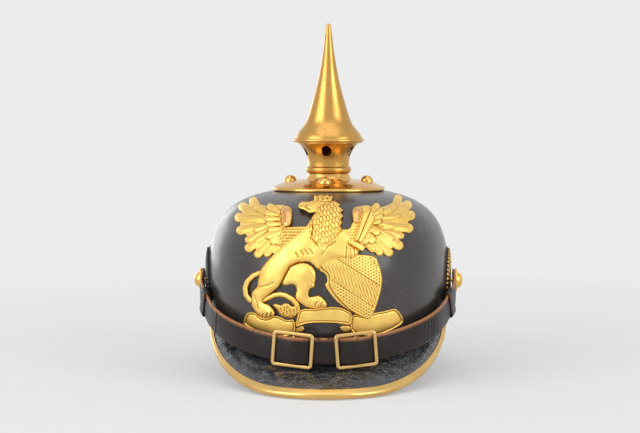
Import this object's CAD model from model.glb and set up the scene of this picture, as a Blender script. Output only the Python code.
import bmesh
import bpy
import numpy as np
from math import atan, cos, pi, radians, sin
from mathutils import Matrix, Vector


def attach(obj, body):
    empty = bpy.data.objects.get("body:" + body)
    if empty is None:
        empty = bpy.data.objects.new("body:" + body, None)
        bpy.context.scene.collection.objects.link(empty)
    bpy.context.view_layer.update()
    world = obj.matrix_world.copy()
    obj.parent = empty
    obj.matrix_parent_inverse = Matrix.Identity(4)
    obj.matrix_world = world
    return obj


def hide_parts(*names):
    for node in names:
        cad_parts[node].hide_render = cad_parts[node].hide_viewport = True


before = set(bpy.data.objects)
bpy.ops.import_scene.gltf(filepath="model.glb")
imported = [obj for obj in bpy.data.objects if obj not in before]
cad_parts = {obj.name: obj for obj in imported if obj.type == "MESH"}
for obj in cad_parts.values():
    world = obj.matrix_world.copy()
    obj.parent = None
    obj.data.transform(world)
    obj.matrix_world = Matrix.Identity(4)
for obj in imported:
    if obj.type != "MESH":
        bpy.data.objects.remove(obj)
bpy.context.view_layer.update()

MM = 0.001

# Camera: a long lens at the photograph's height, a little to the right of the helmet's front
photo_width, photo_height = 640, 433
focal_px = 1631.5
eye_distance, eye_height, eye_turn = 1.280, 0.205, 1.4
axis_column, eye_level_row = 328.5, 106.9

camera_data = bpy.data.cameras.new("studio_camera")
camera_data.sensor_width = 36.0
camera_data.lens = 36.0 * focal_px / photo_width
camera = bpy.data.objects.new("studio_camera", camera_data)
camera.location = (eye_distance * sin(radians(eye_turn)), -eye_distance * cos(radians(eye_turn)), eye_height)
pitch = atan((photo_height / 2 - eye_level_row) / focal_px)
yaw = atan((axis_column - photo_width / 2) / focal_px)
camera.rotation_euler = (pi / 2 - pitch, 0, radians(eye_turn) + yaw)
bpy.context.collection.objects.link(camera)
scene = bpy.context.scene
scene.camera = camera
scene.view_settings.view_transform = "Standard"

BACKDROP = (0.838, 0.838, 0.838, 1.0)


class Nodes:
    """Small helper that adds shader nodes and wires them by socket name."""

    def __init__(self, tree):
        self.tree = tree
        tree.nodes.clear()

    def feed(self, socket, value):
        if isinstance(value, bpy.types.NodeSocket):
            self.tree.links.new(value, socket)
        else:
            socket.default_value = value

    def add(self, kind, inputs=None, **settings):
        node = self.tree.nodes.new(kind)
        for name, value in settings.items():
            setattr(node, name, value)
        for name, value in (inputs or {}).items():
            self.feed(node.inputs[name], value)
        return node

    def ramp(self, factor, *stops):
        node = self.add("ShaderNodeValToRGB", {"Fac": factor})
        elements = node.color_ramp.elements
        for element, (place, colour) in zip(elements, stops):
            element.position = place
            element.color = (*colour, 1.0)
        return node.outputs["Color"]

    def fade(self, factor, *stops):
        """Grey ramp: each stop is a place and a level."""
        return self.ramp(factor, *((place, (level, level, level)) for place, level in stops))

    def math(self, operation, first, second):
        return self.add("ShaderNodeMath", {0: first, 1: second}, operation=operation).outputs[0]

    def times(self, first, second):
        return self.math("MULTIPLY", first, second)

    def plus(self, first, second):
        return self.math("ADD", first, second)

    def mix(self, factor, first, second):
        node = self.add("ShaderNodeMix", data_type="RGBA")
        for socket, value in ((node.inputs["Factor"], factor), (node.inputs[6], first), (node.inputs[7], second)):
            self.feed(socket, (*value, 1.0) if isinstance(value, tuple) else value)
        return node.outputs[2]

    def noise(self, place, scale, detail, output="Fac", **inputs):
        inputs.update(Vector=place, Scale=scale, Detail=detail)
        return self.add("ShaderNodeTexNoise", inputs).outputs[output]

    def cell_borders(self, place, scale):
        """Distance to the nearest border between scattered cells."""
        cells = self.add("ShaderNodeTexVoronoi", {"Vector": place, "Scale": scale}, feature="DISTANCE_TO_EDGE")
        return cells.outputs["Distance"]

    def mark(self, name):
        """Point attribute that the piece carries."""
        return self.add("ShaderNodeAttribute", attribute_name=name).outputs["Fac"]

    def bump(self, height, strength, distance):
        inputs = {"Height": height, "Strength": strength, "Distance": distance}
        return self.add("ShaderNodeBump", inputs).outputs["Normal"]

    def close(self, shader, kind="ShaderNodeOutputMaterial"):
        self.add(kind, {"Surface": shader})

    def surface(self, colour, roughness, normal, coat=None, **inputs):
        """Principled shader on the output, with an even coat of a weight and a roughness if one is given."""
        inputs = {name.replace("_", " "): value for name, value in inputs.items()}
        inputs.update({"Base Color": colour, "Roughness": roughness, "Normal": normal})
        if coat:
            inputs.update({"Coat Weight": coat[0], "Coat Roughness": coat[1], "Coat Normal": normal})
        self.close(self.add("ShaderNodeBsdfPrincipled", inputs).outputs[0])


def finish_of(name):
    """New material, its empty node tree, and its Object coordinates in metres through one Mapping node."""
    material = bpy.data.materials.new(name)
    material.use_nodes = True
    nodes = Nodes(material.node_tree)
    place = nodes.add("ShaderNodeTexCoord").outputs["Object"]
    return material, nodes, nodes.add("ShaderNodeMapping", {"Vector": place}).outputs["Vector"]


def lacquered_leather():
    """Black lacquer over brown hide: softly uneven, crackled in places, with pale scuffs and specks of dust."""
    material, nodes, place = finish_of("dome_lacquer")
    broad = nodes.noise(place, 14.0, 5.0)
    scuff = nodes.noise(place, 60.0, 8.0, Roughness=0.7)
    crack = nodes.fade(nodes.cell_borders(place, 310.0), (0.0, 1), (0.05, 0))
    crack = nodes.times(crack, nodes.fade(broad, (0.48, 0), (0.62, 1)))
    colour = nodes.ramp(broad, (0.3, (0.024, 0.020, 0.018)), (0.7, (0.040, 0.033, 0.030)))
    worn = nodes.fade(scuff, (0.60, 0), (0.78, 1))
    colour = nodes.mix(nodes.times(worn, 0.45), colour, (0.20, 0.19, 0.18))
    dust = nodes.fade(nodes.noise(place, 520.0, 2.0), (0.66, 0), (0.72, 1))
    dust = nodes.times(dust, nodes.fade(broad, (0.45, 0), (0.6, 1)))
    colour = nodes.mix(nodes.times(dust, 0.5), colour, (0.17, 0.16, 0.155))
    gloss = nodes.fade(scuff, (0.35, 0.26), (0.75, 0.42))
    height = nodes.plus(nodes.times(broad, 2.0), nodes.times(nodes.noise(place, 420.0, 4.0), 0.06))
    height = nodes.math("SUBTRACT", height, nodes.times(crack, 0.10))
    nodes.surface(colour, gloss, nodes.bump(height, 0.35, 0.001), coat=(0.25, 0.14))
    return material


def visor_leather():
    """Lacquer shrunk into small pads between fine cracks, with pale streaks in patches; glossier than the dome."""
    material, nodes, place = finish_of("visor_lacquer")
    bent = nodes.noise(place, 120.0, 3.0, "Color")
    bent = nodes.add("ShaderNodeVectorMath", {0: bent, "Scale": 0.006}, operation="SCALE").outputs[0]
    bent = nodes.add("ShaderNodeVectorMath", {0: place, 1: bent}, operation="ADD").outputs[0]
    pads = nodes.fade(nodes.cell_borders(bent, 330.0), (0.0, 0), (0.16, 1))
    seams = nodes.fade(nodes.cell_borders(bent, 95.0), (0.0, 0), (0.06, 1))
    wrinkle = nodes.noise(place, 70.0, 7.0, Distortion=1.2)
    streak = nodes.noise(bent, 150.0, 5.0, Distortion=2.0)
    crazed = nodes.fade(nodes.noise(place, 26.0, 3.0), (0.40, 0.12), (0.62, 1))
    height = nodes.plus(nodes.times(pads, 0.14), nodes.times(seams, 0.24))
    height = nodes.plus(nodes.plus(height, wrinkle), nodes.times(streak, 0.30))
    colour = nodes.ramp(wrinkle, (0.35, (0.009, 0.010, 0.014)), (0.75, (0.026, 0.029, 0.038)))
    colour = nodes.mix(nodes.plus(nodes.times(seams, 0.45), 0.55), (0.05, 0.045, 0.045), colour)
    pale = nodes.times(nodes.fade(streak, (0.56, 0), (0.68, 1)), crazed)
    colour = nodes.mix(nodes.times(pale, 0.7), colour, (0.20, 0.205, 0.22))
    nodes.surface(colour, 0.22, nodes.bump(nodes.times(height, crazed), 0.62, 0.0013), coat=(0.8, 0.06))
    return material


def brass(name, colour, roughness, spots):
    """Brass with cloudy tarnish in its colour and gloss, fine wear in its bump, and scattered brown spots."""
    material, nodes, place = finish_of(name)
    cloud = nodes.noise(place, 55.0, 6.0)
    tarnish, brown = 0.15, tuple(channel * part for channel, part in zip(colour, (0.45, 0.33, 0.25)))
    tone = nodes.ramp(cloud, (0.3, tuple(channel * (1 - tarnish) for channel in colour)), (0.65, colour))
    stain = nodes.fade(nodes.noise(place, 260.0, 5.0), (0.62, 0), (0.72, 1))
    tone = nodes.mix(nodes.times(stain, spots), tone, brown)
    gloss = nodes.fade(cloud, (0.3, roughness * 1.2), (0.7, roughness * 0.85))
    nodes.surface(tone, gloss, nodes.bump(nodes.noise(place, 700.0, 3.0), 0.12, 0.0004), Metallic=1.0)
    return material


def gilt_relief():
    """Matte gilding that has darkened in the hollows and is rubbed bright and reddish on the polished bosses."""
    material, nodes, place = finish_of("plate_gilt")
    polish = nodes.mark("polish")
    tone = nodes.ramp(nodes.noise(place, 80.0, 6.0), (0.3, (0.90, 0.60, 0.15)), (0.65, (0.98, 0.69, 0.19)))
    depth = nodes.fade(nodes.mark("hollow"), (0.02, 0), (0.5, 1))
    tone = nodes.mix(depth, tone, (0.42, 0.19, 0.035))
    tone = nodes.mix(polish, tone, (0.80, 0.42, 0.15))
    gloss = nodes.fade(polish, (0.0, 0.46), (1.0, 0.16))
    nodes.surface(tone, gloss, nodes.bump(nodes.noise(place, 900.0, 3.0), 0.15, 0.0004), Metallic=1.0)
    return material


def plain_leather(name, colour, roughness, raw=None, shine=0.5):
    """Grained leather with a cloudy tone; where the piece marks an edge, the raw brown hide shows through."""
    material, nodes, place = finish_of(name)
    pores = nodes.add("ShaderNodeTexVoronoi", {"Vector": place, "Scale": 380.0}).outputs["Distance"]
    cloud = nodes.noise(place, 40.0, 6.0)
    tone = nodes.ramp(cloud, (0.3, tuple(channel * 0.6 for channel in colour)), (0.7, colour))
    if raw:
        wear = nodes.fade(nodes.noise(place, 240.0, 5.0), (0.30, 0.25), (0.44, 1))
        tone = nodes.mix(nodes.times(nodes.mark("edge"), wear), tone, raw)
    height = nodes.plus(nodes.times(pores, 0.8), nodes.times(cloud, 1.2))
    nodes.surface(tone, roughness, nodes.bump(height, 0.25, 0.0006), Specular_IOR_Level=shine)
    return material


def pleated(name, ridge, fold_tone, metallic, roughness):
    """Pleats of ribbon or stamped metal: a light ridge and a dark fold, by the piece's own fold mark."""
    material, nodes, place = finish_of(name)
    weave = nodes.noise(place, 600.0, 3.0)
    tone = nodes.ramp(weave, (0.35, tuple(channel * 0.75 for channel in ridge)), (0.65, ridge))
    tone = nodes.mix(nodes.fade(nodes.mark("fold"), (0.08, 0), (0.34, 1)), tone, fold_tone)
    nodes.surface(tone, roughness, nodes.bump(weave, 0.2, 0.0004), Metallic=metallic)
    return material


raw_hide, rubbed_hide = (0.38, 0.16, 0.055), (0.055, 0.032, 0.022)
dome_finish = lacquered_leather()
visor_finish = visor_leather()
spike_finish = brass("spike_brass", (0.63, 0.35, 0.09), 0.28, spots=0.35)
base_finish = brass("base_brass", (0.79, 0.46, 0.135), 0.17, spots=0.25)
trim_finish = brass("trim_brass", (0.77, 0.50, 0.17), 0.28, spots=0.35)
gilt_finish = gilt_relief()
buckle_finish = brass("buckle_brass", (0.74, 0.49, 0.19), 0.28, spots=0.3)
rosette_finish = brass("rosette_brass", (0.88, 0.54, 0.13), 0.24, spots=0.3)
nut_finish = brass("nut_brass", (0.45, 0.33, 0.15), 0.45, spots=0.3)
strap_finish = plain_leather("strap_leather", (0.019, 0.013, 0.011), 0.34, raw=raw_hide, shine=0.3)
keeper_finish = plain_leather("keeper_leather", (0.024, 0.018, 0.016), 0.34, raw=rubbed_hide, shine=0.35)
liner_finish = plain_leather("liner_leather", (0.30, 0.16, 0.07), 0.6)
cockade_gold_finish = pleated("cockade_gold", (0.66, 0.40, 0.10), (0.035, 0.018, 0.008), 0.9, 0.32)
cockade_black_finish = pleated("cockade_black", (0.035, 0.033, 0.034), (0.006, 0.006, 0.006), 0.0, 0.45)
backing_finish = plain_leather("cockade_backing", (0.02, 0.02, 0.02), 0.45)

finished_nodes = (
    (dome_finish, "shell"), (visor_finish, "front_visor rear_visor"), (base_finish, "spike_base base_studs"),
    (trim_finish, "front_visor_trim rear_spine spine_studs vent_slide"), (spike_finish, "spike_neck spike_cone"),
    (nut_finish, "spine_stud_nuts base_stud_nuts spike_thread plate_posts plate_nuts rosette_nuts"),
    (gilt_finish, "helmet_plate"), (liner_finish, "base_backing_ring sweatband liner_fingers"),
    (strap_finish, "left_end_strap right_end_strap centre_strap left_keeper right_keeper"),
    (buckle_finish, "left_buckle right_buckle"), (rosette_finish, "left_rosette right_rosette"),
    (cockade_black_finish, "left_cockade"), (cockade_gold_finish, "right_cockade"),
    (backing_finish, "left_cockade_backing right_cockade_backing"))
for finish, names in finished_nodes:
    for node in names.split():
        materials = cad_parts[node].data.materials
        materials.clear()
        materials.append(finish)


# Front plate: a relief drawn in the photograph's pixels and carried along the sight lines on to the dome
dome_half_width, dome_half_length = 94.0, 114.0
dome_widest, dome_crown, dome_fullness = 75.0, 142.0, 0.78
plate_step = 0.42
leather_sink, metal_over, edge_round = -0.9, 0.3, 0.8


def dome_profile():
    """Height and half width along the dome: a cubic Bezier from its widest level up to the crown."""
    share = np.linspace(0, 1, 400)
    lift = dome_widest + dome_fullness * (dome_crown - dome_widest)
    weights = ((1 - share) ** 3, 3 * share * (1 - share) ** 2, 3 * share ** 2 * (1 - share), share ** 3)
    heights = weights[0] * dome_widest + weights[1] * lift + (weights[2] + weights[3]) * dome_crown
    widths = (weights[0] + weights[1]) * dome_half_width + weights[2] * dome_fullness * dome_half_width
    return heights, widths


profile_heights, profile_widths = dome_profile()
lower_radius = 358.9


def dome_half_width_at(height, growth=0.0):
    """Half width of the dome at a height: the Bezier above the widest level, a wide arc below it, both moved
    outward by the growth."""
    rise = dome_crown - dome_widest
    above = np.interp(dome_widest + (height - dome_widest) * rise / (rise + growth), profile_heights, profile_widths)
    drop = np.clip(dome_widest - height, 0, 75)
    below = dome_half_width - lower_radius + np.sqrt(lower_radius ** 2 - drop ** 2)
    return np.where(height > dome_widest, above * (dome_half_width + growth) / dome_half_width, below + growth)


def on_dome(columns, rows, growth):
    """Where the sight line through a pixel meets the dome grown by a distance: the line's height gives the
    level's ellipse, which the line is cut with, and the two are corrected in turn."""
    pixel_rays = np.stack([(columns - photo_width / 2) / focal_px, (photo_height / 2 - rows) / focal_px,
                           np.full(columns.shape, -1.0)], axis=-1)
    turned = np.array(camera.rotation_euler.to_matrix())
    rays = pixel_rays @ turned.T
    start = np.array(camera.location) / MM
    reach = np.full(columns.shape, 1000 * eye_distance - dome_half_length)
    stretch = (dome_half_length + growth) / (dome_half_width + growth)
    for _ in range(24):
        width = dome_half_width_at(start[2] + reach * rays[..., 2], growth)
        x0, y0, dx, dy = start[0], start[1] / stretch, rays[..., 0], rays[..., 1] / stretch
        square, half_sum = dx ** 2 + dy ** 2, x0 * dx + y0 * dy
        spread = np.clip(half_sum ** 2 - square * (x0 ** 2 + y0 ** 2 - width ** 2), 0, None)
        reach = 0.4 * reach + 0.6 * (-half_sum - np.sqrt(spread)) / square
    return start + reach[..., None] * rays


def smooth_outline(points, rounds):
    """Closed outline with its corners cut: each round puts points at a quarter and three quarters of every edge."""
    points = np.array(points, dtype=float)
    for _ in range(rounds):
        ahead = np.roll(points, -1, axis=0)
        points = np.stack([0.75 * points + 0.25 * ahead, 0.25 * points + 0.75 * ahead], axis=1).reshape(-1, 2)
    return points


def nearest_on_edge(start, end, columns, rows):
    """Distance to a straight edge, and the share of its length at the nearest point."""
    (x0, y0), (x1, y1) = start, end
    length = (x1 - x0) ** 2 + (y1 - y0) ** 2 + 1e-12
    share = np.clip(((columns - x0) * (x1 - x0) + (rows - y0) * (y1 - y0)) / length, 0, 1)
    return np.hypot(columns - x0 - share * (x1 - x0), rows - y0 - share * (y1 - y0)), share


def depth_inside(outline, columns, rows):
    """Signed distance to a closed outline, positive inside: least distance to an edge, sign by crossings."""
    nearest = np.full(columns.shape, 1e9)
    inside = np.zeros(columns.shape, dtype=bool)
    for start, end in zip(outline, np.roll(outline, -1, axis=0)):
        nearest = np.minimum(nearest, nearest_on_edge(start, end, columns, rows)[0])
        (x0, y0), (x1, y1) = start, end
        if y0 != y1:
            inside ^= ((y0 > rows) != (y1 > rows)) & (columns < (x1 - x0) * (rows - y0) / (y1 - y0) + x0)
    return np.where(inside, nearest, -nearest)


def bent_path(root, bend, tip):
    """Points of the quadratic curve that leaves the root towards the bend and ends at the tip."""
    share = np.linspace(0, 1, 12)[:, None]
    root, bend, tip = (np.array(point, dtype=float) for point in (root, bend, tip))
    return (1 - share) ** 2 * root + 2 * share * (1 - share) * bend + share ** 2 * tip


def path_fields(path, columns, rows):
    """Distance to an open path, and the share of its length at the nearest point."""
    nearest = np.full(columns.shape, 1e9)
    along = np.zeros(columns.shape)
    for index, (start, end) in enumerate(zip(path[:-1], path[1:])):
        distance, share = nearest_on_edge(start, end, columns, rows)
        closer = distance < nearest
        nearest = np.where(closer, distance, nearest)
        along = np.where(closer, (index + share) / (len(path) - 1), along)
    return nearest, along


class Relief:
    """Height map, in millimetres over the leather, on a grid of pixel places; new forms lie over older ones."""

    def __init__(self, left, top, right, bottom):
        self.u, self.v = np.meshgrid(np.arange(left, right, plate_step), np.arange(top, bottom, plate_step))
        self.rise = np.full(self.u.shape, leather_sink)
        self.polish = np.zeros(self.u.shape)

    def window(self, points, margin):
        low, high = np.min(points, axis=0) - margin, np.max(points, axis=0) + margin
        cols = np.searchsorted(self.u[0], (low[0], high[0]))
        rows = np.searchsorted(self.v[:, 0], (low[1], high[1]))
        return slice(*rows), slice(*cols)

    def lay(self, view, inside, height, bevel=0.9):
        """Raise the map to the height inside a form, with a rounded edge that falls below the leather."""
        edge = np.clip(inside / bevel + 0.35, 0, 1)
        shaped = leather_sink + (height - leather_sink) * np.sqrt(np.clip(1 - (1 - edge) ** 2, 0, 1))
        self.rise[view] = np.maximum(self.rise[view], np.where(inside > -bevel, shaped, leather_sink))

    def form(self, outline, foot, puff=0.0, spread=4.0, rounds=2, bevel=0.9, detail=None):
        """Outline filled to a foot height, swelling inward by puff over the spread, plus a detail pattern."""
        outline = smooth_outline(outline, rounds) if rounds else np.array(outline, dtype=float)
        view = self.window(outline, 2 * bevel)
        u, v = self.u[view], self.v[view]
        inside = depth_inside(outline, u, v)
        swell = puff * np.sqrt(np.clip(1 - (1 - np.clip(inside / spread, 0, 1)) ** 2, 0, 1))
        height = foot + swell
        if detail is not None:
            height = height + detail(u, v, inside)
        self.lay(view, inside, height, bevel)

    def feather(self, root, bend, tip, half, foot, crown, barbs):
        """Blade about a bent path, round at its tip: crowned across, a raised quill and slanting barbs."""
        path = bent_path(root, bend, tip)
        view = self.window(path, half + 1)
        u, v = self.u[view], self.v[view]
        distance, along = path_fields(path, u, v)
        width = half * np.clip(0.62 + 0.5 * along, 0, 1)
        length = np.hypot(*(np.array(tip, dtype=float) - root)) + half
        across = np.clip(distance / width, 0, 1)
        comb = np.cos(2 * pi * (along * length / 1.9 - 0.42 * distance))
        quill = 0.22 * np.exp(-(distance / 0.45) ** 2)
        height = foot + crown * np.sqrt(1 - across ** 2) + quill + barbs * comb * (across > 0.12)
        self.lay(view, width - distance, height, edge_round)

    def tube(self, path, half, foot, crown, polish=0.0):
        """Round bar about a path, its half width given at each end."""
        path = np.array(path, dtype=float)
        view = self.window(path, max(half) + 1.5)
        u, v = self.u[view], self.v[view]
        distance, along = path_fields(path, u, v)
        width = half[0] + (half[1] - half[0]) * along
        height = foot + crown * np.sqrt(np.clip(1 - (distance / width) ** 2, 0, 1))
        self.lay(view, width - distance, height)
        if polish:
            rubbed = np.clip((width - edge_round - distance) / edge_round, 0, 1)
            self.polish[view] = np.maximum(self.polish[view], polish * rubbed)

    def lump(self, centre, radii, turn, height):
        """Soft swelling or hollow of elliptic plan, added to what is there."""
        view = self.window(np.array([centre]), 2.2 * max(radii))
        u, v = self.u[view] - centre[0], self.v[view] - centre[1]
        cosine, sine = cos(radians(turn)), sin(radians(turn))
        along, across = u * cosine + v * sine, v * cosine - u * sine
        bell = np.exp(-(along / radii[0]) ** 2 - (across / radii[1]) ** 2)
        raised = self.rise[view] > leather_sink + metal_over
        self.rise[view] += np.where(raised, height * bell, 0)

    def groove(self, path, half, depth):
        """Channel along a path, taken out of what is there, on the raised metal only."""
        path = np.array(path, dtype=float)
        view = self.window(path, 3 * half)
        distance = path_fields(path, self.u[view], self.v[view])[0]
        raised = self.rise[view] > leather_sink + metal_over
        self.rise[view] -= np.where(raised, depth * np.exp(-(distance / half) ** 2), 0)

    def mesh(self, name):
        """Closed shell: each pixel's sight line cut with the dome grown by its rise, a twin below, walls between."""
        front = on_dome(self.u, self.v, self.rise)
        back = on_dome(self.u, self.v, leather_sink - 0.2)
        raised = self.rise > leather_sink + 0.05
        cells = raised[:-1, :-1] | raised[1:, :-1] | raised[:-1, 1:] | raised[1:, 1:]
        size = self.u.size
        index = np.arange(size).reshape(self.u.shape)
        a, b, c, d = index[:-1, :-1][cells], index[:-1, 1:][cells], index[1:, 1:][cells], index[1:, :-1][cells]
        quads = np.stack([a, d, c, b], axis=1)
        edges = np.concatenate([quads[:, [0, 1]], quads[:, [1, 2]], quads[:, [2, 3]], quads[:, [3, 0]]])
        rim = edges[~np.isin(edges[:, 0] * size + edges[:, 1], edges[:, 1] * size + edges[:, 0])]
        walls = np.stack([rim[:, 1], rim[:, 0], rim[:, 0] + size, rim[:, 1] + size], axis=1)
        faces = np.concatenate([quads, quads[:, ::-1] + size, walls])
        used, packed = np.unique(faces, return_inverse=True)
        places = np.concatenate([front.reshape(-1, 3), back.reshape(-1, 3)])[used] * MM
        soft = self.rise.copy()
        for _ in range(3):
            soft[1:-1, 1:-1] = (soft[:-2, 1:-1] + soft[2:, 1:-1] + soft[1:-1, :-2] + soft[1:-1, 2:]) / 4
        hollow = np.clip((soft - self.rise) * 4, 0, 1)
        marks = {"hollow": np.tile(hollow.ravel(), 2)[used], "polish": np.tile(self.polish.ravel(), 2)[used]}
        return solid_from(name, places, packed.reshape(-1, 4), marks)


def piece_of(mesh, marks):
    """Object of a mesh, smooth shaded, with its point attributes."""
    mesh.polygons.foreach_set("use_smooth", np.ones(len(mesh.polygons), dtype=bool))
    for key, values in marks.items():
        mesh.attributes.new(key, "FLOAT", "POINT").data.foreach_set("value", values.astype(np.float32))
    piece = bpy.data.objects.new(mesh.name, mesh)
    bpy.context.collection.objects.link(piece)
    return piece


def solid_from(name, places, faces, marks):
    """Object from vertex places and equal-sided faces."""
    mesh = bpy.data.meshes.new(name)
    mesh.vertices.add(len(places))
    mesh.vertices.foreach_set("co", np.ascontiguousarray(places, dtype=np.float32).ravel())
    mesh.loops.add(faces.size)
    mesh.loops.foreach_set("vertex_index", faces.astype(np.int32).ravel())
    mesh.polygons.add(len(faces))
    mesh.polygons.foreach_set("loop_start", np.arange(0, faces.size, faces.shape[1], dtype=np.int32))
    mesh.update(calc_edges=True)
    mesh.validate()
    return piece_of(mesh, marks)


def dress(piece, body, slot, finish, *nodes):
    """Finish, body, slot and replaced nodes of a new piece."""
    piece.data.materials.append(finish)
    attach(piece, body)
    if nodes:
        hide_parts(*nodes)


def fish_scales(pitch, height):
    """Pattern of overlapping round scales in staggered rows."""
    def pattern(u, v, inside):
        row = np.floor(v / pitch)
        shifted = u / pitch + 0.5 * (row % 2)
        x, y = shifted - np.floor(shifted) - 0.5, v / pitch - row - 0.35
        return height * np.clip(1 - (x * x + y * y) * 3.2, 0, 1)
    return pattern


def wing(relief, web, primaries, second, coverts, shoulder, arm, arm_detail):
    """One wing: the web under the feathers and the long feathers first, then the shorter rows over them, the scaled
    arm and the smooth shoulder."""
    relief.form(web, 0.9, 0.5, 6.0)
    for row, foot, crown, barbs in ((primaries, 0.5, 1.3, 0.10), (second, 1.2, 1.0, 0.10), (coverts, 1.8, 1.2, 0.07)):
        for feather in row:
            relief.feather(*feather, foot, crown, barbs)
    relief.form(arm, 1.9, 1.0, 5.0, detail=arm_detail)
    relief.tube(*shoulder, polish=1.0)


left_wing = Relief(233, 194, 322, 266)
wing(left_wing,
     web=((288, 205), (276, 205), (268, 207), (259, 204), (251, 203), (245, 207), (242, 213), (240, 221), (241, 228),
          (247, 236), (251, 242), (253, 248), (262, 253), (272, 250), (290, 248), (300, 236), (288, 228)),
     primaries=(((267, 215), (257, 209), (253.4, 201.2), 4.3), ((266.5, 217.5), (254, 214), (243.2, 207), 4.7),
                ((266.5, 221), (253, 219), (239.6, 217.5), 4.9), ((267, 225), (254, 227), (241.2, 230.4), 4.8),
                ((268, 229), (258, 234), (248.6, 239.8), 3.7), ((270, 233), (261, 239.5), (249.4, 247.7), 4.7),
                ((273, 237), (266, 245), (258.3, 253.8), 4.5), ((279, 241), (273, 246), (267.3, 253), 4.3),
                ((287, 243), (281, 247), (275.5, 250.5), 3.8)),
     second=(((271, 225), (262, 226.5), (256, 229.4), 3.4), ((270, 213), (262, 209), (256.5, 207.5), 3.0),
             ((270, 219), (261, 218), (253.5, 219), 3.2), ((271, 232), (264, 236), (258, 240.5), 3.4)),
     coverts=(((279, 212), (275, 209), (270.4, 207.0), 3.4), ((278, 214.5), (272, 213), (267.4, 212.6), 3.2),
              ((279, 219), (273, 218.3), (266.9, 218.1), 3.2), ((280, 224), (274, 223.6), (268.6, 223.6), 3.1),
              ((281, 228.5), (275, 228.8), (270.2, 229.2), 3.1), ((281, 232), (275, 234), (268.9, 235.3), 4.2),
              ((284, 234), (279, 238), (273.6, 240.4), 4.6), ((288, 235), (284, 239), (279.8, 241.4), 4.2)),
     shoulder=([(286.3, 211.6), (286.8, 216), (286.2, 221.5)], (5.6, 5.0), 2.3, 1.9),
     arm=((280, 229), (286, 227), (294.2, 227), (309, 226), (318, 228), (317, 242), (300, 247), (288, 249),
          (279, 246.5), (276, 238)),
     arm_detail=fish_scales(3.1, 0.75))
left_wing.form(((275.4, 204.8), (284.3, 206), (290.8, 208.8), (292.6, 214.5), (291.6, 223), (286.5, 229),
                (279, 230), (276, 217), (272, 206.5)), 1.5, 0.6, 3.0)

right_wing = Relief(336, 192, 417, 264)
wing(right_wing,
     web=((358, 206), (372, 207), (382, 207.5), (391, 204), (397, 199), (403, 203), (409, 208), (409, 217), (407, 228),
          (400, 233), (399, 243), (392, 249), (381, 252), (366, 248), (350, 244), (346, 232), (358, 226)),
     primaries=(((386, 214), (396, 209), (398, 199), 4.3), ((386, 218), (398, 213), (407, 205.4), 4.9),
                ((386, 222), (399, 219), (410.2, 215.6), 5.0), ((385, 226.5), (397, 226.5), (408.4, 228.2), 4.8),
                ((384, 231), (392, 232), (400.6, 235.6), 3.7), ((379, 234), (388, 238.5), (398.4, 245.4), 5.0),
                ((374, 238), (381, 244), (388.6, 252.2), 4.7), ((368, 240), (374, 245), (379.6, 251.6), 4.4),
                ((363, 241), (368, 245), (372.5, 248.8), 3.9)),
     second=(((380, 224), (387, 224.5), (393, 226.3), 3.4), ((380, 213), (388, 211), (394, 207.5), 3.1),
             ((380, 218), (389, 217), (397, 216.3), 3.2), ((379, 230), (386, 233.5), (391.5, 238), 3.5)),
     coverts=(((368, 214), (372, 210), (376.3, 206.6), 3.5), ((370, 216), (376, 213), (380.6, 210.6), 3.0),
              ((371, 220), (376, 217), (380.6, 215.8), 3.0), ((370, 224), (375, 222), (379, 221), 2.9),
              ((366, 226), (372, 228), (376.4, 231.4), 4.4), ((362, 231), (367, 235), (371.6, 239.4), 4.7),
              ((357, 233), (361, 237), (365, 240.6), 4.0)),
     shoulder=([(357.6, 211.9), (357.2, 214), (357.4, 218.6)], (5.2, 4.6), 2.3, 1.9),
     arm=((352, 223), (356, 219), (366, 219), (372, 224), (371, 236), (362, 248), (350, 262), (338, 258), (338, 229.5),
          (350, 229.5)),
     arm_detail=fish_scales(3.1, 0.45))
right_wing.form(((352.2, 214), (354, 208), (362, 205.6), (371, 205.6), (372.5, 212), (366, 224), (358, 226),
                 (354, 222.5)), 1.5, 0.6, 3.0)


def tufts(u, v, inside):
    """Short pointed locks: slanting ridges broken up in staggered rows."""
    bent_v = v + 0.35 * u + 0.9 * np.sin(u * 0.55)
    row = np.floor(bent_v / 5.4)
    lock = bent_v / 5.4 - row
    ridge = np.abs(np.mod((u - 0.25 * v) / 3.6 + 0.5 * np.mod(row, 2), 1) - 0.5) * 2
    comb = 0.14 * np.cos(2 * pi * (u - 0.25 * v) / 1.3)
    return (1.15 * (1 - ridge ** 1.5) + comb) * (1 - 0.75 * lock)


def fur_edge(u, v, inside):
    """Fine slanting combed lines that fade away from the outline."""
    return 0.22 * np.cos(2 * pi * (u * 0.30 - v * 0.16)) * np.exp(-np.clip(inside, 0, 9) / 3.0)


beast = Relief(241, 193, 362, 321)
beast.tube([(262, 272), (253.5, 275.5), (247.5, 281.5), (245.3, 288), (246, 295), (249.5, 300), (254.5, 302),
            (262, 301), (268, 298), (274, 295.2), (280, 294.3), (286, 295.6), (292, 299), (296.2, 303.5)],
           (2.5, 2.6), 0.9, 1.5)
beast.form(((297.5, 301), (300.5, 306), (300, 312.5), (294.5, 317.5), (287, 318), (279.5, 314.5), (278, 310.5),
            (272, 305), (276.5, 303.4), (281, 306), (284.5, 303), (289.5, 304), (292.5, 307.5), (295, 305)),
           1.2, 1.2, 3.0, detail=tufts)
beast.form(((299, 262.5), (308, 263), (314.5, 268.5), (316.3, 277), (314.5, 284.5), (315, 287.2), (310, 288.5),
            (308, 294.5), (309.5, 297.5), (318.5, 295), (322, 297.5), (328, 304), (325, 308.5), (308, 308.5),
            (297.5, 301), (295, 297), (297, 289.5), (295.5, 285), (291, 284.2), (286, 286), (281, 284), (284, 276),
            (289, 266.5)), 1.6, 1.6, 5.0, detail=fur_edge)
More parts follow.
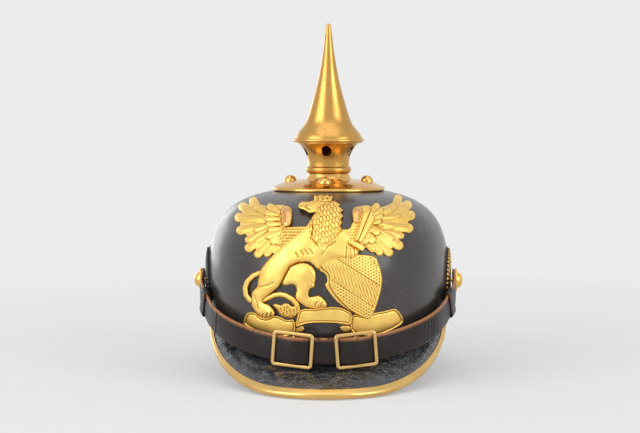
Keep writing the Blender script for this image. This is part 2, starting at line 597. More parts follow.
beast.form(((307, 226), (300, 232), (288, 241), (277, 251), (266, 262.5), (260.5, 270), (258, 281), (257.5, 287),
            (252, 291.5), (251.8, 297), (251.3, 305), (254, 309.5), (259, 315), (262, 318), (269, 318.5),
            (275, 315.5), (274.5, 311), (269, 304.5), (262.5, 303), (262.5, 299.5), (271, 293), (280, 286),
            (284.5, 277), (290, 266.5), (298.5, 262), (309, 261.4), (313, 264.5), (318.5, 270.5), (322, 266),
            (330, 261), (347, 257.5), (352, 250), (351, 240), (347, 230.5), (340.6, 230.5), (334, 236), (322, 228),
            (315, 221), (311.5, 217)), 2.2, 2.0, 7.0)
beast.form(((311.5, 218), (315.5, 212), (313, 205), (322, 202), (334, 201), (339.8, 204.4), (338.8, 207),
            (343.2, 210.4), (340.6, 213), (343.3, 216.5), (340.6, 219.5), (342.4, 223), (340, 226), (342, 229),
            (339, 233), (334, 241), (324, 247), (314.5, 243), (309, 232), (309, 226)), 2.8, 1.5, 5.0, rounds=0,
           detail=tufts)
beast.form(((298.3, 206.6), (299.5, 203.4), (302.5, 201.6), (307, 202), (311.5, 201.5), (316, 200), (325, 200.5),
            (326, 206), (321.5, 211), (316, 212), (310, 213.6), (306.5, 211.5), (303, 209.4), (299.5, 209)),
           2.9, 1.6, 3.5)
beast.form(((314.5, 195.2), (318, 196.5), (320.5, 194.8), (323.5, 196.3), (327, 194.8), (329, 196.4), (333, 195.8),
            (331.5, 200.8), (323, 202), (314, 201)), 3.1, 0.8, 2.0, rounds=0, bevel=0.6)
beast.form(((337, 243), (345, 240.5), (352, 246), (358.5, 248), (358.5, 254.5), (353.5, 259), (347.5, 259.5),
            (341, 257.6), (330, 259.5), (322, 257), (326, 247)), 2.8, 1.5, 4.0)
for place in ((318.2, 198.6), (322.8, 198.4), (327.4, 198.6)):
    beast.lump(place, (0.9, 0.9), 0, -1.2)

beast.lump((306.5, 205.2), (1.2, 0.8), 20, -1.0)
beast.lump((309.5, 206.5), (2.2, 1.4), -10, 0.6)
for centre, radii, turn, height in (
        ((318, 250), (9, 7), 20, 0.9), ((303, 245), (9, 6), -35, 0.6), ((285, 262), (8, 12), 25, 0.9),
        ((270, 276), (5, 11), 30, 0.7), ((305, 273), (7, 7), 0, 0.9), ((292, 255), (6, 5), 0, -0.5),
        ((257, 312), (4, 3), 30, 0.7), ((268, 312), (4, 3.5), 20, 0.6), ((318, 302), (6, 3.5), 10, 0.6),
        ((330, 251), (10, 3.5), 10, 0.7), ((352, 253), (4, 4), 0, 0.8)):
    beast.lump(centre, radii, turn, height)

for path, half, depth in (
        ([(299, 262), (290, 266), (285, 275), (280.5, 285)], 0.9, 1.2),
        ([(301, 251), (304, 255)], 0.8, 0.5), ([(305, 249.5), (308.5, 254.5)], 0.8, 0.5),
        ([(310, 249), (313, 253.5)], 0.8, 0.5), ([(296, 253), (298.5, 257)], 0.8, 0.5),
        ([(258, 287), (266, 286), (273, 283)], 0.9, 0.5), ([(254, 296), (257, 303), (258, 309)], 0.7, 0.5),
        ([(266, 318), (267, 313)], 0.6, 0.8), ([(270.5, 317.5), (271.5, 312.5)], 0.6, 0.8),
        ([(262.5, 317.5), (263, 314)], 0.6, 0.6), ([(299, 205), (304, 206.3), (309.5, 209.5)], 0.5, 0.8),
        ([(311, 218), (313, 228), (311, 238), (318, 245.5)], 0.9, 0.9),
        ([(336, 241), (327, 247), (322, 255)], 0.9, 0.7), ([(346.5, 247), (346, 258)], 0.7, 0.8),
        ([(350.5, 247.5), (351, 259)], 0.5, 0.6), ([(354.5, 248.5), (355, 258)], 0.5, 0.6),
        ([(315, 306), (317, 302)], 0.6, 0.6), ([(320.5, 307), (322, 302.5)], 0.6, 0.6)):
    beast.groove(path, half, depth)

# Sword over the right wing: a pointed blade with ridge lines and bevels, and a slanting guard below it
sword = Relief(342, 204, 379, 256)
sword.form(((372, 207.2), (376.3, 219.2), (362.6, 243.4), (354.8, 240), (361.9, 213)), 4.8, 0.6, 2.5, rounds=0,
           bevel=0.6)
sword.groove([(371.6, 208.5), (358.2, 241)], 0.4, 1.1)
for ridge_line in ([(372.9, 211), (374.9, 218.8)], [(374.9, 219.2), (361.6, 242)], [(371, 208.6), (363.2, 213.2)],
                   [(363, 213.8), (356, 239.4)]):
    sword.groove(ridge_line, 0.35, 0.7)
sword.form(((348.6, 238.4), (365.6, 245.8), (363, 252.2), (357.5, 248.4), (347, 242.6)), 5.2, 0.8, 1.5, rounds=1,
           bevel=0.6)

# Shield: its three fields lie between two slanting lines, inside a bevelled edge
bend_upper = ((339.4, 260.2), (379.2, 285.6))
bend_lower = ((331.4, 279.8), (373.7, 308.0))


def below_line(line, u, v):
    """Signed distance under a line, positive on the side of larger rows."""
    (x0, y0), (x1, y1) = line
    return ((x1 - x0) * (v - y0) - (y1 - y0) * (u - x0)) / np.hypot(x1 - x0, y1 - y0)


def shield_fields(u, v, inside):
    """Slanting hatch in the bend, rows of punched dots in the two other fields, plain edge."""
    upper, lower = below_line(bend_upper, u, v), below_line(bend_lower, u, v)
    in_bend = np.clip(np.minimum(upper, -lower) / 0.6, 0, 1)
    steep = np.abs(np.mod((u * 0.93 - v * 0.36) / 2.7, 1) - 0.5) * 2.7
    slant = np.abs(np.mod((u * 0.985 - v * 0.17) / 3.3, 1) - 0.5) * 3.3
    hatch = np.exp(-(steep / 0.34) ** 2) + 0.8 * np.exp(-(slant / 0.34) ** 2)
    steps = 3.3
    across, down = (u * 0.86 + v * 0.51) / steps, (v * 0.86 - u * 0.51) / steps * 1.25
    row = np.floor(down)
    x, y = across + 0.5 * np.mod(row, 2), down - row - 0.5
    x = (x - np.floor(x) - 0.5) * steps
    dots = np.exp(-(x * x + (y * steps / 1.25) ** 2) / 0.42)
    field = -0.32 * in_bend * hatch - 0.75 * dots * (1 - in_bend)
    ridge = -0.5 * np.exp(-(upper / 0.4) ** 2) - 0.5 * np.exp(-(lower / 0.4) ** 2)
    clear = np.clip((inside - 1.4) / 0.8, 0, 1)
    return (field + ridge) * clear + 0.3 * np.exp(-((inside - 0.9) / 0.6) ** 2)


shield = Relief(315, 253, 385, 323)
shield.form(((319.4, 261), (319, 264.5), (319.2, 271), (324.2, 272.8), (327, 277), (327.2, 282.8), (324.2, 285),
             (331, 295), (338.5, 303.5), (353, 312.8), (366, 318.5), (356, 312), (343, 303.5), (334.5, 294),
             (329.6, 285.3), (331, 277), (328, 270), (325, 264), (326, 259)), 1.2, 0.5, 2.0, rounds=1)
shield.form(((321, 261), (335, 255), (356, 254), (371, 255.5), (376.2, 257.6), (378.4, 263), (381.8, 274.3),
             (382.2, 283), (379.8, 295), (375, 310.4), (369.6, 319.8), (362.7, 317.2), (353, 312.2), (343.1, 303.7),
             (334.5, 293.9), (329, 284.6), (330.2, 277), (327.6, 272), (321.6, 268.5)), 2.5, 1.6, 16.0, rounds=1,
            detail=shield_fields)
shield.tube([(372.4, 258.6), (376, 260.4), (376.6, 264.4), (373, 265.4), (372.6, 262.4)], (1.7, 1.1), 3.0, 1.0)


# Scroll: three plain ribbons with a raised border and two folds that turn under
def ribbon_border(u, v, inside):
    """Raised line just inside the edge, and a slow ripple along the ribbon."""
    line = 0.55 * np.exp(-((inside - 0.9) / 0.5) ** 2) - 0.3 * np.exp(-((inside - 2.3) / 0.5) ** 2)
    return line + 0.25 * np.cos(u * 0.3)


scroll = Relief(238, 303, 408, 341)
scroll.form(((294, 324), (300, 324), (304.5, 327.5), (303.8, 332), (296, 333), (289, 331)), 0.6, 0.5, 2.0)
scroll.form(((340, 325.6), (350, 325.6), (352, 330), (346, 333), (340.5, 330.5)), 0.6, 0.5, 2.0)
scroll.form(((244, 319.4), (246.2, 314), (249.6, 311.8), (256, 312.6), (260.2, 317.4), (267, 318.6), (273.6, 315.2),
             (281, 317), (287, 320.5), (295, 318.6), (296, 333.5), (286, 337.5), (272.4, 337), (256, 332),
             (243.4, 325)), 1.0, 0.4, 3.0, rounds=1, detail=ribbon_border)
scroll.form(((352.3, 313.6), (362, 316), (374, 312.8), (385, 311), (394.8, 308.2), (398.5, 311), (402.2, 316),
             (404, 323.5), (390, 331.5), (375.5, 336.5), (362, 336), (351, 333), (350, 322)), 1.0, 0.4, 3.0, rounds=1,
            detail=ribbon_border)
scroll.form(((298.4, 311.4), (303, 308.6), (312, 309), (321, 308), (330, 306.8), (338, 306.8), (345, 309),
             (352.6, 313.4), (351.8, 325.6), (343, 324.4), (334.5, 323.3), (321, 323), (310, 323.4), (302, 325),
             (294.4, 328.6)), 1.7, 0.5, 3.0, rounds=1, detail=ribbon_border)

for relief, name in ((left_wing, "griffin_left_wing"), (right_wing, "griffin_right_wing"), (beast, "griffin_body"),
                     (sword, "griffin_sword"), (shield, "griffin_shield"), (scroll, "plate_scroll")):
    dress(relief.mesh(name), "helmet", "plate_gilt", gilt_finish, "helmet_plate")


# Leather and brass that the CAD holds as plain solids: the same places, drawn with their real forms
dome_stretch = dome_half_length / dome_half_width


def side_of_dome(along, height, growth):
    """How far out the dome's side lies at a place of the side view, with the dome grown by a distance."""
    width = dome_half_width_at(height, growth)
    length = width * (dome_half_length + growth) / (dome_half_width + growth)
    return width * np.sqrt(np.clip(1 - (along / length) ** 2, 0, 1))


def inner_wall(turn, height, growth):
    """Place on the dome's elliptic wall, grown by a (negative) distance, at a bearing and height."""
    width = dome_half_width_at(height, growth)
    length = width * (dome_half_length + growth) / (dome_half_width + growth)
    return np.stack([width * np.cos(turn), length * np.sin(turn), height], axis=-1)


def full_turn(count):
    """Even angles round a full turn."""
    return np.linspace(0, 2 * pi, count + 1)[:-1]


def half_turn(count):
    """Even angles inside a half turn, without its two ends."""
    return np.linspace(-pi / 2, pi / 2, count + 2)[1:-1]


def distances_along(points):
    """Distance from the first point to each, along the line that joins them."""
    return np.concatenate([[0], np.cumsum(np.linalg.norm(np.diff(points, axis=0), axis=1))])


def points_at(distances, points, lengths):
    """Points of a plane line at distances along it."""
    return np.stack([np.interp(distances, lengths, points[:, axis]) for axis in (0, 1)], axis=1)


def round_strip(across, bends):
    """Section of a flat strip with half-round edges: along one face, round an edge, back along the other face and
    round again. Gives the place across, the reach past the edges and the place through, the last two in half
    thicknesses."""
    bend, flat, none = half_turn(bends), np.ones(len(across)), np.zeros(len(across))
    return (np.concatenate([across, np.full(bends, across[-1]), across[::-1], np.full(bends, across[0])]),
            np.concatenate([none, np.cos(bend), none, -np.cos(bend)]),
            np.concatenate([flat, -np.sin(bend), -flat, np.sin(bend)]))


run_step = 0.5


def rounded_run(corners, radii):
    """Even points along straight runs joined by arcs, each arc tangent to both runs at its corner."""
    corners = np.array(corners, dtype=float)
    points = [corners[:1]]
    for before, corner, after, radius in zip(corners[:-2], corners[1:-1], corners[2:], radii):
        arriving = (corner - before) / np.linalg.norm(corner - before)
        leaving = (after - corner) / np.linalg.norm(after - corner)
        turn = np.arccos(np.clip(arriving @ leaving, -1, 1))
        reach = radius * np.tan(turn / 2)
        share = np.linspace(0, turn, 24)[:, None]
        side = leaving - arriving * np.cos(turn)
        side /= np.linalg.norm(side)
        points.append(corner - arriving * reach + radius * (np.sin(share) * arriving + (1 - np.cos(share)) * side))
    points = np.concatenate([*points, corners[-1:]])
    lengths = distances_along(points)
    return points_at(np.arange(0, lengths[-1], run_step), points, lengths)


def tube_of_rings(rings, marks=None, closed=False):
    """Skin over rings of points: neighbouring rings joined by quads, ends filled by a fan unless it is closed."""
    count, around = rings.shape[:2]
    index = np.arange(count * around).reshape(count, around)
    ahead = np.roll(index, -1, axis=0) if closed else index[1:]
    here = index if closed else index[:-1]
    quads = np.stack([here, np.roll(here, -1, axis=1), np.roll(ahead, -1, axis=1), ahead], axis=-1).reshape(-1, 4)
    places = rings.reshape(-1, 3)
    values = {key: np.broadcast_to(value, rings.shape[:2]).reshape(-1) for key, value in (marks or {}).items()}
    if not closed:
        places = np.concatenate([places, rings[[0, -1]].mean(axis=1)])
        values = {key: np.concatenate([value, value[[0, -1]]]) for key, value in values.items()}
        low, high = index[0], index[-1]
        hub = np.full(around, len(places) - 2)
        quads = np.concatenate([quads, np.stack([np.roll(low, -1), low, hub, hub], axis=1),
                                np.stack([high, np.roll(high, -1), hub + 1, hub + 1], axis=1)])
    return places, quads, values


def skin(name, *parts):
    """One object of several skins, with the fan quads closed to triangles and the faces turned outward."""
    places, faces, marks, offset = [], [], {}, 0
    for points, quads, values in parts:
        places.append(points)
        faces.extend((quads + offset).tolist())
        for key, value in values.items():
            marks.setdefault(key, []).append(value)
        offset += len(points)
    mesh = bpy.data.meshes.new(name)
    mesh.from_pydata((np.concatenate(places) * MM).tolist(), [],
                     [face[:3] if face[2] == face[3] else face for face in faces])
    shape = bmesh.new()
    shape.from_mesh(mesh)
    bmesh.ops.recalc_face_normals(shape, faces=shape.faces)
    shape.to_mesh(mesh)
    shape.free()
    return piece_of(mesh, {key: np.concatenate(values) for key, values in marks.items()})


# Brass trim of the front visor: a folded channel with a round nose
visor_root_wide, visor_rim_wide, visor_rim_long = 86.7, 92.5, 150.0
visor_root_height, visor_root_rise = 21.5, 20.5
rim_rise, rim_flat_share, rim_rise_power, rim_lift = 36.0, 0.913, 1.35, 0.8
visor_ply, visor_crown = 3.0, 0.045
top_leaf, least_leaf, under_leaf, trim_sheet, trim_nose, leather_gap = 5.2, 1.6, 3.4, 0.86, 0.95, 0.03
trim_bearings = (0, 13, 27, 40, 47, 55, 62, 70, 77, 85)


def spline_through(knots, values, at):
    """Smooth curve through values at knots: cubics whose second derivatives meet, free at both ends."""
    gap = np.diff(knots)
    count = len(knots)
    system, load = np.eye(count), np.zeros((count, values.shape[1]))
    rows = np.arange(1, count - 1)
    system[rows, rows - 1], system[rows, rows], system[rows, rows + 1] = gap[:-1], 2 * (gap[:-1] + gap[1:]), gap[1:]
    load[1:-1] = 6 * np.diff(np.diff(values, axis=0) / gap[:, None], axis=0)
    bend = np.linalg.solve(system, load)
    span = np.clip(np.searchsorted(knots, at) - 1, 0, count - 2)
    left, right, wide = (at - knots[span])[:, None], (knots[span + 1] - at)[:, None], gap[span][:, None]
    return ((bend[span] * right ** 3 + bend[span + 1] * left ** 3) / (6 * wide)
            + (values[span] / wide - bend[span] * wide / 6) * right
            + (values[span + 1] / wide - bend[span + 1] * wide / 6) * left)


def visor_rim():
    """Root and rim of the front visor at even steps: at each bearing an ellipse's point each, the rim climbing to
    the sides by a power of how far the bearing has turned, and splines through both."""
    bearing = np.radians([-angle for angle in trim_bearings[:0:-1]] + list(trim_bearings))
    across, along = np.sin(bearing), np.cos(bearing)
    climb = np.clip(rim_flat_share - along, 0, None) / (rim_flat_share - cos(bearing[-1]))
    root = [visor_root_wide * across, -visor_root_wide * dome_stretch * along,
            visor_root_height + visor_root_rise * (1 - along)]
    rim = [visor_rim_wide * across, -visor_rim_long * along, rim_rise * climb ** rim_rise_power + rim_lift + visor_ply]
    knots = distances_along(np.stack(rim[:2], axis=1))
    line = spline_through(knots, np.stack(root + rim, axis=1), np.linspace(knots[0], knots[-1], 421))
    return line[:, :3], line[:, 3:]


def visor_trim():
    """Closed section carried round the rim, in the upright plane through root and rim, where the visor is a shallow
    arc: a top leaf and a bottom leaf that follow the arc, with round hems, joined by a nose that is nearly a circle."""
    root, rim = visor_rim()
    chord = np.linalg.norm(rim - root, axis=1)
    slope = (rim - root) / chord[:, None]
    level = np.hypot(slope[:, 0], slope[:, 1])
    up = np.column_stack([-slope[:, 0] * slope[:, 2] / level, -slope[:, 1] * slope[:, 2] / level, level])
    width = dome_half_width_at(rim[:, 2])
    outside = np.hypot(rim[:, 0], rim[:, 1]) * (1 - 1 / np.hypot(rim[:, 0] / width, rim[:, 1] / width / dome_stretch))
    leaf = np.clip(outside + least_leaf, least_leaf, top_leaf)
    middle, half = -visor_ply / 2 - 0.05, visor_ply / 2 + trim_sheet
    shoulder, top, under, seat = trim_nose - half, middle + half, middle - half, -visor_ply - leather_gap
    turn, share, hem = np.linspace(pi / 2, -pi / 2, 17), np.linspace(1, 0, 7)[:-1], half_turn(4)
    no_nose, no_leaf, one = np.zeros(17), np.zeros(6), np.ones(4)
    fixed = np.concatenate([shoulder * (1 - share), shoulder + half * np.abs(np.cos(turn)) ** 0.85,
                            shoulder * share, -0.3 * np.cos(hem), [0, 0.1, 0.1, 0], -0.3 * np.cos(hem)])
    of_top = np.concatenate([-share, no_nose, no_leaf, 0 * one, [0, 0, 0, -1], -one])
    of_under = np.concatenate([no_leaf, no_nose, share - 1, -one, [-1, 0, 0, 0], 0 * one])
    rise = np.concatenate([np.full(6, top), middle + half * np.sign(turn) * np.abs(np.sin(turn)) ** 0.85,
                           np.full(6, under), (under + seat) / 2 - (under - seat) / 2 * np.sin(hem),
                           [seat, seat, leather_gap, leather_gap],
                           (leather_gap + top) / 2 + (top - leather_gap) / 2 * np.sin(hem)])
    inward = fixed + of_top * leaf[:, None] + of_under * np.minimum(leaf, under_leaf)[:, None]
    back = np.clip(-inward, 0, None)
    arc = 4 * visor_crown * back * (1 - back / np.maximum(chord, 8)[:, None])
    rings = rim[:, None] + slope[:, None] * inward[..., None] + up[:, None] * (rise + arc)[..., None]
    return skin("visor_trim_channel", tube_of_rings(rings))


dress(visor_trim(), "helmet", "trim_brass", trim_finish, "front_visor_trim")


# Chin strap
strap_half, strap_ply, strap_setback, strap_eye = 9.1, 1.8, 8.0, 70.0
strap_corners = ((97.1, 2.0), (97.1, -27.0), (79.0, -77.0), (36.0, -120.0))
strap_plan = rounded_run([*strap_corners, *((-x, y) for x, y in reversed(strap_corners))],
                         (35.0, 100.0, 82.0, 82.0, 100.0, 35.0))
strap_bend = (-52.0, 49.2)
strap_side = rounded_run([(-strap_setback, strap_eye), strap_bend, (-133.0, 26.69)], (60.0,))
buckle_turn = radians(15.7)
bend_radius, bend_centre = 82.0, -38.0
buckle_seat = np.array([bend_radius * sin(buckle_turn), bend_centre - bend_radius * cos(buckle_turn), 31.15])
side_names = {1: "right", -1: "left"}


def strap_edges(along):
    """Lower and upper edge heights of the strap at a place of the side view, with its round end at the rosette."""
    order = np.argsort(strap_side[:, 0])
    run, rise = strap_side[order, 0], strap_side[order, 1]
    slope = np.gradient(rise, run)
    start_slope = slope[-1]
    centre = np.where(along > run[-1], strap_eye + (along - run[-1]) * start_slope, np.interp(along, run, rise))
    lean = np.sqrt(1 + np.interp(along, run, slope) ** 2)
    offset = strap_half * start_slope / np.sqrt(1 + start_slope ** 2)
    arc = np.sqrt(np.clip(strap_half ** 2 - (along + strap_setback) ** 2, 0, None))
    upper = np.where(along > -strap_setback - offset, strap_eye + arc, centre + strap_half * lean)
    lower = np.where(along > -strap_setback + offset, strap_eye - arc, centre - strap_half * lean)
    return lower, upper


def strap_leather(name, stations, outer=True, creases=(), side=0):
    """Leather band: at each station a flat section with half-round edges, crowned outward, creased across, and lifted
    over the bar of the buckle on its side by a cosine bump."""
    places = strap_plan[stations]
    tangent = np.gradient(strap_plan, axis=0)[stations]
    tangent /= np.linalg.norm(tangent, axis=1, keepdims=True)
    outward = np.stack([-tangent[:, 1], tangent[:, 0]], axis=1)
    lower, upper = strap_edges(places[:, 1])
    middle, half = (lower + upper) / 2, np.maximum((upper - lower) / 2, strap_ply / 2)
    across, past, through = round_strip(np.linspace(-1, 1, 17), 5)
    height = middle[:, None] + (half[:, None] - strap_ply / 2) * across + past * strap_ply / 2
    outer_face = (through + 1) / 2
    crown = 0.35 if outer else 0.0
    offset = (strap_ply / 2 * (through + (1 if outer else -1)) + outer_face * crown * (1 - across ** 2)
              + np.zeros_like(height))
    distance = np.arange(len(places)) * run_step
    crease_half, ridge_half, ridge_place, ridge_part = 0.7, 1.1, 1.8, 0.6
    for place, depth, slant in creases:
        line = distance[:, None] - place - slant * across * 4
        offset -= depth * np.exp(-(line / crease_half) ** 2) * outer_face
        offset += ridge_part * depth * np.exp(-((line - ridge_place) / ridge_half) ** 2) * outer_face
    if side:
        bump_reach, bump_rise = 13, 3.0
        reach = np.hypot(*(places - [side * buckle_seat[0], buckle_seat[1]]).T)
        offset += bump_rise * np.where(reach < bump_reach, 0.5 + 0.5 * np.cos(pi * reach / bump_reach), 0)[:, None]
    rings = np.stack([places[:, :1] + outward[:, :1] * offset, places[:, 1:] + outward[:, 1:] * offset, height], -1)
    edge = np.maximum(np.clip((across - 0.8) * 5, 0, 1), 0.15 * (past < 0))
    return skin(name, tube_of_rings(rings, {"edge": edge}))


end_reach, middle_reach, hindmost = 11.0, 26.0, 1.05
in_front = strap_plan[:, 1] < hindmost
# Place along the strap, depth and slant of each crease
creases = {1: ((74, 0.3, 0.5), (78, 0.35, -0.2), (82, 0.3, 0.3), (87, 0.25, -0.3)),
           -1: ((62, 0.12, 0.3), (88, 0.35, -0.4))}
for side, word in side_names.items():
    run = np.flatnonzero((strap_plan[:, 0] * side > end_reach) & in_front)
    dress(strap_leather(word + "_strap_leather", run, creases=creases[side], side=side),
          "chin_strap", "strap_leather", strap_finish, word + "_end_strap")
dress(strap_leather("middle_strap_leather", np.flatnonzero(np.abs(strap_plan[:, 0]) < middle_reach), outer=False),
      "chin_strap", "strap_leather", strap_finish, "centre_strap")


def round_bar(path, out, half_wide, half_thick, origin):
    """Closed bar about a plane path: at each point a squarish oval set out of the plane."""
    ahead = np.roll(path, -1, axis=0) - np.roll(path, 1, axis=0)
    ahead /= np.linalg.norm(ahead, axis=1, keepdims=True)
    side = np.cross(ahead, out)
    turn = full_turn(16)
    squarish = (np.abs(np.cos(turn)) ** 4 + np.abs(np.sin(turn)) ** 4) ** -0.25
    rings = (path[:, None] + side[:, None] * (half_wide * np.cos(turn) * squarish)[:, None]
             + out * (half_thick * np.sin(turn) * squarish)[:, None] + origin)
    return tube_of_rings(rings, closed=True)


def rounded_frame(width, height, corner):
    """Points round a rectangle with round corners: straight sides and quarter circles."""
    quarter, per_side = np.linspace(0, pi / 2, 7), 14
    points = []
    for number, (sx, sy) in enumerate(((1, 1), (-1, 1), (-1, -1), (1, -1))):
        angle = quarter + number * pi / 2
        points.append(np.stack([np.cos(angle), np.sin(angle)], axis=1) * corner
                      + [sx * (width / 2 - corner), sy * (height / 2 - corner)])
    points = np.concatenate([*points, points[0][:1]])
    lengths = distances_along(points)
    even = np.unique(np.concatenate([lengths[:-1], np.linspace(0, lengths[-1], 4 * per_side)[:-1]]))
    return points_at(even, points, lengths)


def buckle(side):
    """Square buckle: a rounded bar about a frame on the strap's front bend, and the straight bar under the leather."""
    fall, frame_lift, bar_lift, bar_half = 0.2779, 2.5, 1.7, 11.6
    along = np.array([cos(buckle_turn), sin(buckle_turn), fall * sin(buckle_turn)])
    along /= np.linalg.norm(along)
    out = np.array([sin(buckle_turn), -cos(buckle_turn), 0.0])
    up = np.cross(out, along)
    width, height, corner = 28.8, 23.2, 1.8
    path = rounded_frame(width, height, corner)
    path = path[:, :1] * along + path[:, 1:] * up
    turn = full_turn(12)[:, None]
    bar = (buckle_seat + out * bar_lift + np.linspace(-bar_half, bar_half, 5)[:, None, None] * up
           + np.cos(turn) * along + np.sin(turn) * out)
    parts = round_bar(path, out, 1.3, 1.0, buckle_seat + out * frame_lift), tube_of_rings(bar)
    return skin(side_names[side] + "_buckle_frame", *((places * [side, 1, 1], quads, marks)
                                                      for places, quads, marks in parts))


def keeper(side):
    """Leather loop round the strap: a strip with rounded edges, bent into a flat ring."""
    place, half_strip, half_sheet, lift = -38.0, 4.2, 0.55, 0.9
    (x0, y0), (x1, y1) = strap_corners[1:3]
    run = np.array([x1 - x0, y1 - y0])
    drop = (strap_eye - strap_bend[1]) / (-strap_setback - strap_bend[0])
    origin = np.array([x0 + run[0] * (place - y0) / run[1], place, strap_eye + drop * (place + strap_setback)])
    along = np.array([*run, run[1] * drop])
    along /= np.linalg.norm(along)
    out = np.array([-run[1], run[0], 0.0])
    out /= np.linalg.norm(out)
    up = np.cross(along, out)
    depth, height, corner = 3.6, 20.6, 1.5
    path = rounded_frame(depth, height, corner)
    normal = np.roll(path, -1, axis=0) - np.roll(path, 1, axis=0)
    normal = np.stack([normal[:, 1], -normal[:, 0]], axis=1)
    normal /= np.linalg.norm(normal, axis=1, keepdims=True)
    strip = np.linspace(-half_strip, half_strip, 9)
    across, past, through = round_strip(strip, 5)
    through = half_sheet * through
    through[:9] += 0.12 * (1 - (strip / half_strip) ** 2)
    through[14:23] += 0.05
    edge = np.concatenate([np.clip(np.abs(strip) - 3.4, 0, 1), np.ones(5), np.zeros(9), np.ones(5)])
    plane = path[:, None] + normal[:, None] * through[:, None]
    rings = (origin + out * lift + plane[..., :1] * out + plane[..., 1:] * up
             + (across + half_sheet * past)[:, None] * along)
    return skin(side_names[side] + "_keeper_loop", tube_of_rings(rings * [side, 1, 1], {"edge": edge}, closed=True))


def cockade(side, name):
    """Pleated disc on the dome's side: polar grid, its pleats deepening outward, each pleat a rounded rib."""
    pleats, seat, thick, radius, hole = 44, 0.8, 2.0, 25.4, 1.9
    turn = full_turn(pleats * 10)
    wave = np.sqrt(np.abs(np.cos(turn * pleats / 2)))
    share = np.concatenate([[hole / radius], np.linspace(0.12, 0.97, 14), [0.99, 1.0, 1.0]])[:, None]
    rim = radius - 0.9 * (1 - wave)
    reach = share * (rim * share + radius * (1 - share))
    pleat = np.clip((share - 0.2) / 0.6, 0, 1)
    growth = seat + thick * (0.62 + 0.16 * np.sin(share * pi) + 0.22 * pleat * (2 * wave - 1))
    growth[-2] -= 0.35
    growth[-1] = seat + 0.1
    growth = np.concatenate([np.full((1, len(turn)), seat + 0.1), growth])
    reach = np.concatenate([reach[:1], reach])
    along, height = reach * np.cos(turn) - strap_setback, reach * np.sin(turn) + strap_eye
    rings = np.stack([side * side_of_dome(along, height, growth), along, height], axis=-1)
    fold = (1 - wave) * np.concatenate([pleat[:1], pleat])
    return skin(name, tube_of_rings(rings, {"fold": fold}, closed=True))


for side, word in side_names.items():
    dress(buckle(side), "chin_strap", "buckle_brass", buckle_finish, word + "_buckle")
for side, word in side_names.items():
    dress(keeper(side), word + "_keeper_loop", "strap_leather", keeper_finish, word + "_keeper")
dress(cockade(1, "gold_cockade_pleats"), "helmet", "cockade_gold", cockade_gold_finish, "right_cockade")
dress(cockade(-1, "black_cockade_pleats"), "helmet", "cockade_black", cockade_black_finish, "left_cockade")


# Foot of the dome and the liner
def shell_edge(along):
    """Height of the dome's lower edge at a place of the side view: an arc, highest at the side."""
    arc, side_height = 361.6, 40.0
    return side_height - arc + np.sqrt(arc ** 2 - along ** 2)


def dome_foot(facing):
    """Leather from the dome's lower edge down into one visor: a closed section in the dome's wall, carried round that
    end of the ellipse, from just above the edge to a wide arc that runs between the visor's two faces."""
    side_start, arc, arc_along, arc_height = 9.0, 482.75, 158.7, 498.75
    reach, lap, outer_growth, inner_growth = dome_half_length - 3, 0.6, -0.1, -2.4
    start = np.arcsin(side_start / reach)
    turn = facing * np.linspace(start, pi - start, 361)
    along = np.maximum(np.abs(reach * np.sin(turn)), side_start)
    upper = shell_edge(along) + lap
    lower = arc_height - np.sqrt(arc ** 2 - (along - arc_along) ** 2)
    share = np.array([0, 0.03, 0.25, 0.5, 0.75, 0.97, 1])
    growth = np.repeat([outer_growth, inner_growth], len(share))
    height = lower[:, None] + (upper - lower)[:, None] * np.concatenate([share, share[::-1]])
    rings = inner_wall(turn[:, None], height, growth)
    return skin(("rear" if facing > 0 else "front") + "_dome_foot", tube_of_rings(rings))


def sweatband_leather():
    """Leather band inside the rim: a closed section carried round the ellipse, rolled at its lower edge, and a row
    of stitches under its upper edge, each a short bump along the ring."""
    half_sheet, seat, top, stitch_height, stitches = 0.7, -3.6, 55.2, 52.2, 170
    turn = full_turn(720)[:, None]
    foot = shell_edge((dome_half_length - 4) * np.sin(turn)) + 2 * half_sheet
    part, past, through = round_strip(np.linspace(0, 1, 16), 4)
    height = foot + (top - foot) * part + half_sheet * past
    inward = through > 0
    stitch = np.clip(np.cos(turn * stitches), 0, 1) * np.exp(-((height - stitch_height) / 0.5) ** 2) * inward
    growth = seat - half_sheet * through - 0.45 * stitch + 0.12 * np.sin(turn * 37) * inward
    return skin("sweatband_leather", tube_of_rings(inner_wall(turn, height, growth), closed=True))


def liner_leather_fingers():
    """Ten leather tongues on a common band: each a sheet from the band to the crown, narrowing to a round tip."""
    foot_radius, foot_height, crown_radius, crown_height = 86.9, 48.4, 26.0, 117.0
    fingers, band_height, half_sheet, tip_length = 10, 61, 0.55, 3.5
    last = np.arccos(np.clip(crown_radius / foot_radius, -1, 1))
    angle = np.linspace(0, last, 34)
    radius = foot_radius * np.cos(angle)
    height = foot_height + (crown_height - foot_height) * np.sin(angle) / np.sin(last)
    slit = np.interp(radius, (crown_radius, foot_radius), (6.6, 1.6))
    spread = pi / fingers - np.arcsin(slit / radius)
    spread = np.where(height < band_height, pi / fingers - 0.002, spread)
    tip = np.clip((height[-1] - height) / tip_length, 0, 1)
    spread = spread * np.sqrt(1 - (1 - tip) ** 2 + 0.02)
    part, _, through = round_strip(np.linspace(-1, 1, 13), 3)
    lift = half_sheet * through - 1.1 * part ** 4 * np.clip((height[:, None] - band_height) / 12, 0, 1)
    out_radius = radius[:, None] + lift * np.cos(angle)[:, None]
    out_height = height[:, None] + lift * np.sin(angle)[:, None]
    tongues = []
    for number in range(fingers):
        bearing = (2 * number + 1) * pi / fingers + spread[:, None] * part
        tongues.append(tube_of_rings(np.stack(
            [out_radius * np.cos(bearing), out_radius * np.sin(bearing) * dome_stretch, out_height], -1)))
    return skin("liner_finger_leather", *tongues)


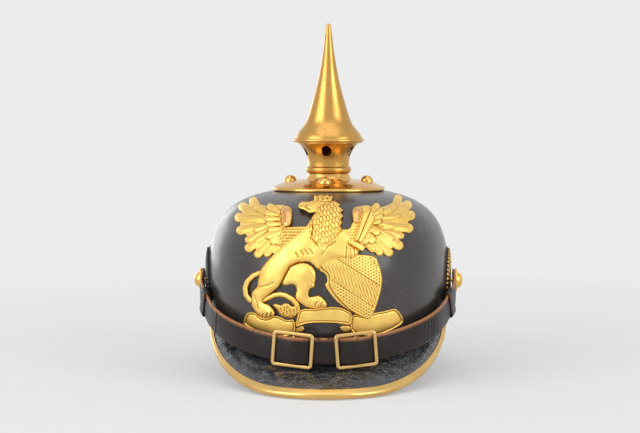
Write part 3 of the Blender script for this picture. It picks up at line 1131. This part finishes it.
for facing in (-1, 1):
    dress(dome_foot(facing), "helmet", "lacquered_leather", dome_finish)
dress(sweatband_leather(), "helmet", "liner_leather", liner_finish, "sweatband")
dress(liner_leather_fingers(), "helmet", "liner_leather", liner_finish, "liner_fingers")


# Studio: a pale floor that fades into the backdrop, a light tent and four soft lamps
def studio_floor():
    bpy.ops.mesh.primitive_plane_add(size=12.0, location=(0, 0, -0.0002))
    floor = bpy.context.object
    floor.name = "studio_floor"
    material, nodes, place = finish_of("floor_paper")
    away = nodes.add("ShaderNodeVectorMath", {0: place}, operation="LENGTH").outputs["Value"]
    paper = nodes.add("ShaderNodeBsdfDiffuse", {"Color": (0.76, 0.76, 0.76, 1)}).outputs[0]
    glow = nodes.add("ShaderNodeEmission", {"Color": BACKDROP, "Strength": 1.0}).outputs[0]
    mixed = {0: nodes.fade(away, (0.15, 0.4), (0.8, 1)), 1: paper, 2: glow}
    nodes.close(nodes.add("ShaderNodeMixShader", mixed).outputs[0])
    floor.data.materials.append(material)


def light_tent():
    """Dim white for the light that the tent sends, and the photograph's backdrop for what is seen or mirrored."""
    world = bpy.data.worlds.new("light_tent")
    scene.world = world
    world.use_nodes = True
    nodes = Nodes(world.node_tree)
    seen = nodes.add("ShaderNodeLightPath")
    plain = nodes.math("MAXIMUM", seen.outputs["Is Camera Ray"], seen.outputs["Is Glossy Ray"])
    tent = nodes.add("ShaderNodeBackground", {"Color": (1.0, 1.0, 1.0, 1), "Strength": 0.55}).outputs[0]
    pale = nodes.add("ShaderNodeBackground", {"Color": BACKDROP, "Strength": 1.0}).outputs[0]
    mixed = nodes.add("ShaderNodeMixShader", {0: plain, 1: tent, 2: pale}).outputs[0]
    nodes.close(mixed, "ShaderNodeOutputWorld")


def soft_lamp(name, place, aim, size, power):
    data = bpy.data.lights.new(name, "AREA")
    data.shape = "RECTANGLE"
    data.size, data.size_y = size
    data.energy = power
    lamp = bpy.data.objects.new(name, data)
    lamp.location = place
    lamp.rotation_euler = (Vector(aim) - Vector(place)).to_track_quat("-Z", "Y").to_euler()
    bpy.context.collection.objects.link(lamp)


studio_floor()
light_tent()
soft_lamp("left_softbox", (-1.3, -1.0, 0.8), (0, 0, 0.12), (1.2, 1.5), 15)
soft_lamp("right_softbox", (1.3, -0.9, 0.7), (0, 0, 0.12), (0.8, 1.0), 9)
soft_lamp("top_softbox", (0.0, -0.3, 1.7), (0, 0, 0.1), (1.6, 1.6), 6)
soft_lamp("edge_softbox", (-0.72, 1.12, 0.22), (0, 0, 0.08), (0.8, 0.5), 2.2)
